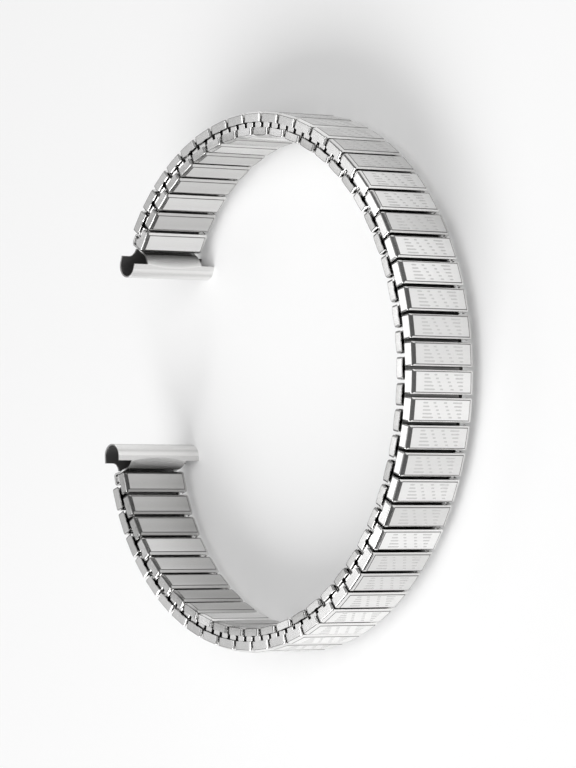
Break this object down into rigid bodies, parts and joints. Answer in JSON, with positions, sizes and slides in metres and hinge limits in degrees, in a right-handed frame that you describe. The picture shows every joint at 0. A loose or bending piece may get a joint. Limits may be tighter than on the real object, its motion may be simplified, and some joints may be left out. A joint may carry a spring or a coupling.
{
  "type": "expansion watch band",
  "caption": "Ladies' expansion watch band: two staggered rows of hollow steel links tied by sprung U-bows, bent to an open C, with a hooded end fitting for a lug bar at each end.",
  "frame": {"origin": "on the floor under the middle of the box, with the band lying on its edge", "axes": "+Z across the band's width, upwards; +X from the open side to the middle link; +Y from the 6 o'clock end to the 12 o'clock end"},
  "size_m": [0.0534, 0.0624, 0.012],
  "materials": {
    "polished_steel": "polished",
    "brushed_steel": "brushed",
    "satin_steel": "satin"
  },
  "bodies": {
    "middle_link": {"middle_cap": "polished_steel", "middle_sleeve": "brushed_steel"},
    "link_pair_12_01": {"link_pair_12_01": "polished_steel"},
    "link_pair_12_02": {"link_pair_12_02": "polished_steel"},
    "link_pair_12_03": {"link_pair_12_03": "polished_steel"},
    "link_pair_12_04": {"link_pair_12_04": "polished_steel"},
    "link_pair_12_05": {"link_pair_12_05": "polished_steel"},
    "link_pair_12_06": {"link_pair_12_06": "polished_steel"},
    "link_pair_12_07": {"link_pair_12_07": "polished_steel"},
    "link_pair_12_08": {"link_pair_12_08": "polished_steel"},
    "link_pair_12_09": {"link_pair_12_09": "polished_steel"},
    "link_pair_12_10": {"link_pair_12_10": "polished_steel"},
    "link_pair_12_11": {"link_pair_12_11": "polished_steel"},
    "link_pair_12_12": {"link_pair_12_12": "polished_steel"},
    "link_pair_12_13": {"link_pair_12_13": "polished_steel"},
    "link_pair_12_14": {"link_pair_12_14": "polished_steel"},
    "link_pair_12_15": {"link_pair_12_15": "polished_steel"},
    "link_pair_12_16": {"link_pair_12_16": "polished_steel"},
    "link_pair_12_17": {"link_pair_12_17": "polished_steel"},
    "link_pair_12_18": {"link_pair_12_18": "polished_steel"},
    "link_pair_12_19": {"link_pair_12_19": "polished_steel"},
    "link_pair_12_20": {"link_pair_12_20": "polished_steel"},
    "link_pair_12_21": {"link_pair_12_21": "polished_steel"},
    "link_pair_12_22": {"link_pair_12_22": "polished_steel"},
    "bow_pair_12_22": {"bow_pair_12_22": "brushed_steel"},
    "link_pair_12_23": {"link_pair_12_23": "polished_steel"},
    "bow_pair_12_23": {"bow_pair_12_23": "brushed_steel"},
    "link_pair_12_24": {"link_pair_12_24": "polished_steel"},
    "bow_pair_12_24": {"bow_pair_12_24": "brushed_steel"},
    "end_inner_link_12": {"end_inner_link_12": "brushed_steel"},
    "end_fitting_12": {"end_fitting_12": "satin_steel"},
    "link_pair_6_01": {"link_pair_6_01": "polished_steel"},
    "link_pair_6_02": {"link_pair_6_02": "polished_steel"},
    "link_pair_6_03": {"link_pair_6_03": "polished_steel"},
    "link_pair_6_04": {"link_pair_6_04": "polished_steel"},
    "link_pair_6_05": {"link_pair_6_05": "polished_steel"},
    "link_pair_6_06": {"link_pair_6_06": "polished_steel"},
    "link_pair_6_07": {"link_pair_6_07": "polished_steel"},
    "link_pair_6_08": {"link_pair_6_08": "polished_steel"},
    "link_pair_6_09": {"link_pair_6_09": "polished_steel"},
    "link_pair_6_10": {"link_pair_6_10": "polished_steel"},
    "link_pair_6_11": {"link_pair_6_11": "polished_steel"},
    "link_pair_6_12": {"link_pair_6_12": "polished_steel"},
    "link_pair_6_13": {"link_pair_6_13": "polished_steel"},
    "link_pair_6_14": {"link_pair_6_14": "polished_steel"},
    "link_pair_6_15": {"link_pair_6_15": "polished_steel"},
    "link_pair_6_16": {"link_pair_6_16": "polished_steel"},
    "link_pair_6_17": {"link_pair_6_17": "polished_steel"},
    "link_pair_6_18": {"link_pair_6_18": "polished_steel"},
    "link_pair_6_19": {"link_pair_6_19": "polished_steel"},
    "link_pair_6_20": {"link_pair_6_20": "polished_steel"},
    "link_pair_6_21": {"link_pair_6_21": "polished_steel"},
    "link_pair_6_22": {"link_pair_6_22": "polished_steel"},
    "bow_pair_6_22": {"bow_pair_6_22": "brushed_steel"},
    "link_pair_6_23": {"link_pair_6_23": "polished_steel"},
    "bow_pair_6_23": {"bow_pair_6_23": "brushed_steel"},
    "link_pair_6_24": {"link_pair_6_24": "polished_steel"},
    "bow_pair_6_24": {"bow_pair_6_24": "brushed_steel"},
    "end_inner_link_6": {"end_inner_link_6": "brushed_steel"},
    "end_fitting_6": {"end_fitting_6": "satin_steel"}
  },
  "joints": [
    {"name": "stretch_6_22", "type": "slide", "parent": "link_pair_6_21", "child": "link_pair_6_22", "axis": [-0.913, 0.4079, 0], "range_m": [0, 0.00111], "stiffness_N_per_m": 100},
    {"name": "stretch_12_22", "type": "slide", "parent": "link_pair_12_21", "child": "link_pair_12_22", "axis": [-0.913, -0.4079, 0], "range_m": [0, 0.00111], "stiffness_N_per_m": 100},
    {"name": "stretch_12_23", "type": "slide", "parent": "link_pair_12_22", "child": "link_pair_12_23", "axis": [-0.8571, -0.5151, 0], "range_m": [0, 0.00111], "stiffness_N_per_m": 100},
    {"name": "stretch_12_24", "type": "slide", "parent": "link_pair_12_23", "child": "link_pair_12_24", "axis": [-0.7889, -0.6146, 0], "range_m": [0, 0.00111], "stiffness_N_per_m": 100},
    {"name": "stretch_6_23", "type": "slide", "parent": "link_pair_6_22", "child": "link_pair_6_23", "axis": [-0.8571, 0.5151, 0], "range_m": [0, 0.00111], "stiffness_N_per_m": 100},
    {"name": "stretch_6_24", "type": "slide", "parent": "link_pair_6_23", "child": "link_pair_6_24", "axis": [-0.7889, 0.6146, 0], "range_m": [0, 0.00111], "stiffness_N_per_m": 100},
    {"name": "flex_12_fitting", "type": "hinge", "parent": "end_inner_link_12", "child": "end_fitting_12", "pos_m": [-0.02617, 0.01432, 0.006], "axis": [0, 0, 1], "range_deg": [-5.5, 5.5]},
    {"name": "flex_6_fitting", "type": "hinge", "parent": "end_inner_link_6", "child": "end_fitting_6", "pos_m": [-0.02617, -0.01432, 0.006], "axis": [0, 0, 1], "range_deg": [-5.5, 5.5]},
    {"name": "flex_12_end_link", "type": "hinge", "parent": "link_pair_12_24", "child": "end_inner_link_12", "pos_m": [-0.02555, 0.01575, 0.006], "axis": [0, 0, 1], "range_deg": [-5.5, 5.5]},
    {"name": "flex_6_end_link", "type": "hinge", "parent": "link_pair_6_24", "child": "end_inner_link_6", "pos_m": [-0.02555, -0.01575, 0.006], "axis": [0, 0, 1], "range_deg": [-5.5, 5.5]},
    {"name": "flex_12_21", "type": "hinge", "parent": "link_pair_12_20", "child": "link_pair_12_21", "pos_m": [-0.01782, 0.02529, 0.006], "axis": [0, 0, 1], "range_deg": [-5.5, 5.5]},
    {"name": "flex_6_21", "type": "hinge", "parent": "link_pair_6_20", "child": "link_pair_6_21", "pos_m": [-0.01782, -0.02529, 0.006], "axis": [0, 0, 1], "range_deg": [-5.5, 5.5]},
    {"name": "flex_12_20", "type": "hinge", "parent": "link_pair_12_19", "child": "link_pair_12_20", "pos_m": [-0.01524, 0.027, 0.006], "axis": [0, 0, 1], "range_deg": [-5.5, 5.5]},
    {"name": "flex_6_20", "type": "hinge", "parent": "link_pair_6_19", "child": "link_pair_6_20", "pos_m": [-0.01524, -0.027, 0.006], "axis": [0, 0, 1], "range_deg": [-5.5, 5.5]},
    {"name": "flex_12_19", "type": "hinge", "parent": "link_pair_12_18", "child": "link_pair_12_19", "pos_m": [-0.01248, 0.02839, 0.006], "axis": [0, 0, 1], "range_deg": [-5.5, 5.5]},
    {"name": "flex_6_19", "type": "hinge", "parent": "link_pair_6_18", "child": "link_pair_6_19", "pos_m": [-0.01248, -0.02839, 0.006], "axis": [0, 0, 1], "range_deg": [-5.5, 5.5]},
    {"name": "flex_12_18", "type": "hinge", "parent": "link_pair_12_17", "child": "link_pair_12_18", "pos_m": [-0.00956, 0.02944, 0.006], "axis": [0, 0, 1], "range_deg": [-5.5, 5.5]},
    {"name": "flex_6_18", "type": "hinge", "parent": "link_pair_6_17", "child": "link_pair_6_18", "pos_m": [-0.00956, -0.02944, 0.006], "axis": [0, 0, 1], "range_deg": [-5.5, 5.5]},
    {"name": "flex_12_17", "type": "hinge", "parent": "link_pair_12_16", "child": "link_pair_12_17", "pos_m": [-0.00654, 0.03012, 0.006], "axis": [0, 0, 1], "range_deg": [-5.5, 5.5]},
    {"name": "flex_6_17", "type": "hinge", "parent": "link_pair_6_16", "child": "link_pair_6_17", "pos_m": [-0.00654, -0.03012, 0.006], "axis": [0, 0, 1], "range_deg": [-5.5, 5.5]},
    {"name": "flex_12_16", "type": "hinge", "parent": "link_pair_12_15", "child": "link_pair_12_16", "pos_m": [-0.00346, 0.03044, 0.006], "axis": [0, 0, 1], "range_deg": [-5.5, 5.5]},
    {"name": "flex_6_16", "type": "hinge", "parent": "link_pair_6_15", "child": "link_pair_6_16", "pos_m": [-0.00346, -0.03044, 0.006], "axis": [0, 0, 1], "range_deg": [-5.5, 5.5]},
    {"name": "flex_12_15", "type": "hinge", "parent": "link_pair_12_14", "child": "link_pair_12_15", "pos_m": [-0.00036, 0.03038, 0.006], "axis": [0, 0, 1], "range_deg": [-5.5, 5.5]},
    {"name": "flex_6_15", "type": "hinge", "parent": "link_pair_6_14", "child": "link_pair_6_15", "pos_m": [-0.00036, -0.03038, 0.006], "axis": [0, 0, 1], "range_deg": [-5.5, 5.5]},
    {"name": "flex_12_14", "type": "hinge", "parent": "link_pair_12_13", "child": "link_pair_12_14", "pos_m": [0.0027, 0.02995, 0.006], "axis": [0, 0, 1], "range_deg": [-5.5, 5.5]},
    {"name": "flex_6_14", "type": "hinge", "parent": "link_pair_6_13", "child": "link_pair_6_14", "pos_m": [0.0027, -0.02995, 0.006], "axis": [0, 0, 1], "range_deg": [-5.5, 5.5]},
    {"name": "flex_12_13", "type": "hinge", "parent": "link_pair_12_12", "child": "link_pair_12_13", "pos_m": [0.0057, 0.02917, 0.006], "axis": [0, 0, 1], "range_deg": [-5.5, 5.5]},
    {"name": "flex_6_13", "type": "hinge", "parent": "link_pair_6_12", "child": "link_pair_6_13", "pos_m": [0.0057, -0.02917, 0.006], "axis": [0, 0, 1], "range_deg": [-5.5, 5.5]},
    {"name": "flex_12_12", "type": "hinge", "parent": "link_pair_12_11", "child": "link_pair_12_12", "pos_m": [0.00858, 0.02804, 0.006], "axis": [0, 0, 1], "range_deg": [-5.5, 5.5]},
    {"name": "flex_6_12", "type": "hinge", "parent": "link_pair_6_11", "child": "link_pair_6_12", "pos_m": [0.00858, -0.02804, 0.006], "axis": [0, 0, 1], "range_deg": [-5.5, 5.5]},
    {"name": "flex_12_11", "type": "hinge", "parent": "link_pair_12_10", "child": "link_pair_12_11", "pos_m": [0.01131, 0.0266, 0.006], "axis": [0, 0, 1], "range_deg": [-5.5, 5.5]},
    {"name": "flex_6_11", "type": "hinge", "parent": "link_pair_6_10", "child": "link_pair_6_11", "pos_m": [0.01131, -0.0266, 0.006], "axis": [0, 0, 1], "range_deg": [-5.5, 5.5]},
    {"name": "flex_12_10", "type": "hinge", "parent": "link_pair_12_09", "child": "link_pair_12_10", "pos_m": [0.01386, 0.02485, 0.006], "axis": [0, 0, 1], "range_deg": [-5.5, 5.5]},
    {"name": "flex_6_10", "type": "hinge", "parent": "link_pair_6_09", "child": "link_pair_6_10", "pos_m": [0.01386, -0.02485, 0.006], "axis": [0, 0, 1], "range_deg": [-5.5, 5.5]},
    {"name": "flex_12_09", "type": "hinge", "parent": "link_pair_12_08", "child": "link_pair_12_09", "pos_m": [0.0162, 0.02284, 0.006], "axis": [0, 0, 1], "range_deg": [-5.5, 5.5]},
    {"name": "flex_6_09", "type": "hinge", "parent": "link_pair_6_08", "child": "link_pair_6_09", "pos_m": [0.0162, -0.02284, 0.006], "axis": [0, 0, 1], "range_deg": [-5.5, 5.5]},
    {"name": "flex_12_08", "type": "hinge", "parent": "link_pair_12_07", "child": "link_pair_12_08", "pos_m": [0.01831, 0.02059, 0.006], "axis": [0, 0, 1], "range_deg": [-5.5, 5.5]},
    {"name": "flex_6_08", "type": "hinge", "parent": "link_pair_6_07", "child": "link_pair_6_08", "pos_m": [0.01831, -0.02059, 0.006], "axis": [0, 0, 1], "range_deg": [-5.5, 5.5]},
    {"name": "flex_12_07", "type": "hinge", "parent": "link_pair_12_06", "child": "link_pair_12_07", "pos_m": [0.02018, 0.01814, 0.006], "axis": [0, 0, 1], "range_deg": [-5.5, 5.5]},
    {"name": "flex_6_07", "type": "hinge", "parent": "link_pair_6_06", "child": "link_pair_6_07", "pos_m": [0.02018, -0.01814, 0.006], "axis": [0, 0, 1], "range_deg": [-5.5, 5.5]},
    {"name": "flex_12_06", "type": "hinge", "parent": "link_pair_12_05", "child": "link_pair_12_06", "pos_m": [0.02179, 0.01551, 0.006], "axis": [0, 0, 1], "range_deg": [-5.5, 5.5]},
    {"name": "flex_6_06", "type": "hinge", "parent": "link_pair_6_05", "child": "link_pair_6_06", "pos_m": [0.02179, -0.01551, 0.006], "axis": [0, 0, 1], "range_deg": [-5.5, 5.5]},
    {"name": "flex_12_05", "type": "hinge", "parent": "link_pair_12_04", "child": "link_pair_12_05", "pos_m": [0.02312, 0.01274, 0.006], "axis": [0, 0, 1], "range_deg": [-5.5, 5.5]},
    {"name": "flex_6_05", "type": "hinge", "parent": "link_pair_6_04", "child": "link_pair_6_05", "pos_m": [0.02312, -0.01274, 0.006], "axis": [0, 0, 1], "range_deg": [-5.5, 5.5]},
    {"name": "flex_12_04", "type": "hinge", "parent": "link_pair_12_03", "child": "link_pair_12_04", "pos_m": [0.02418, 0.00985, 0.006], "axis": [0, 0, 1], "range_deg": [-5.5, 5.5]},
    {"name": "flex_6_04", "type": "hinge", "parent": "link_pair_6_03", "child": "link_pair_6_04", "pos_m": [0.02418, -0.00985, 0.006], "axis": [0, 0, 1], "range_deg": [-5.5, 5.5]},
    {"name": "flex_12_03", "type": "hinge", "parent": "link_pair_12_02", "child": "link_pair_12_03", "pos_m": [0.02496, 0.00687, 0.006], "axis": [0, 0, 1], "range_deg": [-5.5, 5.5]},
    {"name": "flex_6_03", "type": "hinge", "parent": "link_pair_6_02", "child": "link_pair_6_03", "pos_m": [0.02496, -0.00687, 0.006], "axis": [0, 0, 1], "range_deg": [-5.5, 5.5]},
    {"name": "flex_12_02", "type": "hinge", "parent": "link_pair_12_01", "child": "link_pair_12_02", "pos_m": [0.02546, 0.00384, 0.006], "axis": [0, 0, 1], "range_deg": [-5.5, 5.5]},
    {"name": "flex_6_02", "type": "hinge", "parent": "link_pair_6_01", "child": "link_pair_6_02", "pos_m": [0.02546, -0.00384, 0.006], "axis": [0, 0, 1], "range_deg": [-5.5, 5.5]},
    {"name": "flex_12_01", "type": "hinge", "parent": "middle_link", "child": "link_pair_12_01", "pos_m": [0.02567, 0.00077, 0.006], "axis": [0, 0, 1], "range_deg": [-5.5, 5.5]},
    {"name": "flex_6_01", "type": "hinge", "parent": "middle_link", "child": "link_pair_6_01", "pos_m": [0.02567, -0.00077, 0.006], "axis": [0, 0, 1], "range_deg": [-5.5, 5.5]},
    {"name": "bow_tilt_12_22", "type": "hinge", "parent": "link_pair_12_21", "child": "bow_pair_12_22", "pos_m": [-0.02017, 0.02327, 0.006], "axis": [0, 0, 1], "range_deg": [-40, 0]},
    {"name": "bow_tilt_12_23", "type": "hinge", "parent": "link_pair_12_22", "child": "bow_pair_12_23", "pos_m": [-0.02227, 0.02098, 0.006], "axis": [0, 0, 1], "range_deg": [-40, 0]},
    {"name": "bow_tilt_12_24", "type": "hinge", "parent": "link_pair_12_23", "child": "bow_pair_12_24", "pos_m": [-0.02407, 0.01846, 0.006], "axis": [0, 0, 1], "range_deg": [-40, 0]},
    {"name": "bow_tilt_6_22", "type": "hinge", "parent": "link_pair_6_21", "child": "bow_pair_6_22", "pos_m": [-0.02017, -0.02327, 0.006], "axis": [0, 0, 1], "range_deg": [0, 40]},
    {"name": "bow_tilt_6_23", "type": "hinge", "parent": "link_pair_6_22", "child": "bow_pair_6_23", "pos_m": [-0.02227, -0.02098, 0.006], "axis": [0, 0, 1], "range_deg": [0, 40]},
    {"name": "bow_tilt_6_24", "type": "hinge", "parent": "link_pair_6_23", "child": "bow_pair_6_24", "pos_m": [-0.02407, -0.01846, 0.006], "axis": [0, 0, 1], "range_deg": [0, 40]}
  ],
  "couplings": [
    {"joint": "stretch_12_22", "follows": "stretch_6_22", "ratio": 1},
    {"joint": "bow_tilt_12_22", "follows": "stretch_6_22", "rad_per_m": -626.1},
    {"joint": "stretch_12_23", "follows": "stretch_6_22", "ratio": 1},
    {"joint": "bow_tilt_12_23", "follows": "stretch_6_22", "rad_per_m": -626.1},
    {"joint": "stretch_12_24", "follows": "stretch_6_22", "ratio": 1},
    {"joint": "bow_tilt_12_24", "follows": "stretch_6_22", "rad_per_m": -626.1},
    {"joint": "bow_tilt_6_22", "follows": "stretch_6_22", "rad_per_m": 626.1},
    {"joint": "stretch_6_23", "follows": "stretch_6_22", "ratio": 1},
    {"joint": "bow_tilt_6_23", "follows": "stretch_6_22", "rad_per_m": 626.1},
    {"joint": "stretch_6_24", "follows": "stretch_6_22", "ratio": 1},
    {"joint": "bow_tilt_6_24", "follows": "stretch_6_22", "rad_per_m": 626.1}
  ]
}
